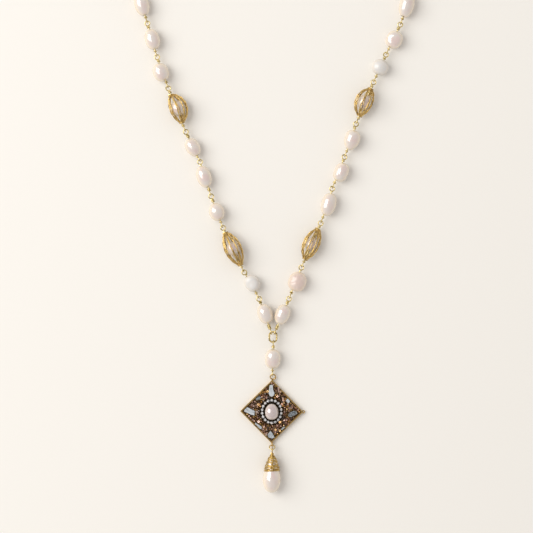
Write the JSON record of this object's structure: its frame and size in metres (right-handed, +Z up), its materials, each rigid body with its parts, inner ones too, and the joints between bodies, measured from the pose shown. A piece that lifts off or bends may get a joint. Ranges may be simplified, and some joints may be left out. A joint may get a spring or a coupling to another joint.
{
  "type": "lavaliere necklace",
  "caption": "Long baroque pearl necklace with openwork bead cages on wrapped wire links, a square beaded pendant hung by a corner and a pear-shaped pearl drop.",
  "frame": {"origin": "on the surface the necklace lies on, under the middle of the whole", "axes": "+Z up from the surface, +Y from the drop towards the clasp, +X to the right seen from above"},
  "size_m": [0.1534, 0.355, 0.0094],
  "materials": {
    "pearl": "lustrous nacre",
    "gold_wire": "polished",
    "antique_brass": "antiqued",
    "gold_frame": "polished",
    "seed_beads": "glossy metallic glass",
    "grey_stone": "rough metallic grey",
    "crystal": "cut crystal"
  },
  "bodies": {
    "root": {"bead_bed": "seed_beads", "cage_01": "antique_brass", "cage_02": "antique_brass", "cage_03": "antique_brass", "cage_04": "antique_brass", "cage_05": "antique_brass", "cage_06": "antique_brass", "cage_07": "antique_brass", "cage_08": "antique_brass", "cage_pearl_01": "pearl", "cage_pearl_02": "pearl", "cage_pearl_03": "pearl", "cage_pearl_04": "pearl", "cage_pearl_05": "pearl", "cage_pearl_06": "pearl", "cage_pearl_07": "pearl", "cage_pearl_08": "pearl", "centre_pearl": "pearl", "clasp": "gold_wire", "drop_cap": "antique_brass", "drop_pearl": "pearl", "halo_stones": "crystal", "jump_ring": "gold_wire", "junction_ring": "antique_brass", "link_pearl": "pearl", "link_pearl_wire": "gold_wire", "link_wire_a": "gold_wire", "link_wire_b": "gold_wire", "pearl_01": "pearl", "pearl_02": "pearl", "pearl_03": "pearl", "pearl_04": "pearl", "pearl_05": "pearl", "pearl_06": "pearl", "pearl_07": "pearl", "pearl_08": "pearl", "pearl_09": "pearl", "pearl_10": "pearl", "pearl_11": "pearl", "pearl_12": "pearl", "pearl_13": "pearl", "pearl_14": "pearl", "pearl_15": "pearl", "pearl_16": "pearl", "pearl_17": "pearl", "pearl_18": "pearl", "pearl_19": "pearl", "pearl_20": "pearl", "pearl_21": "pearl", "pearl_22": "pearl", "pearl_23": "pearl", "pearl_24": "pearl", "pearl_25": "pearl", "pearl_26": "pearl", "pendant_frame": "gold_frame", "stone_chips": "grey_stone"}
  },
  "joints": []
}
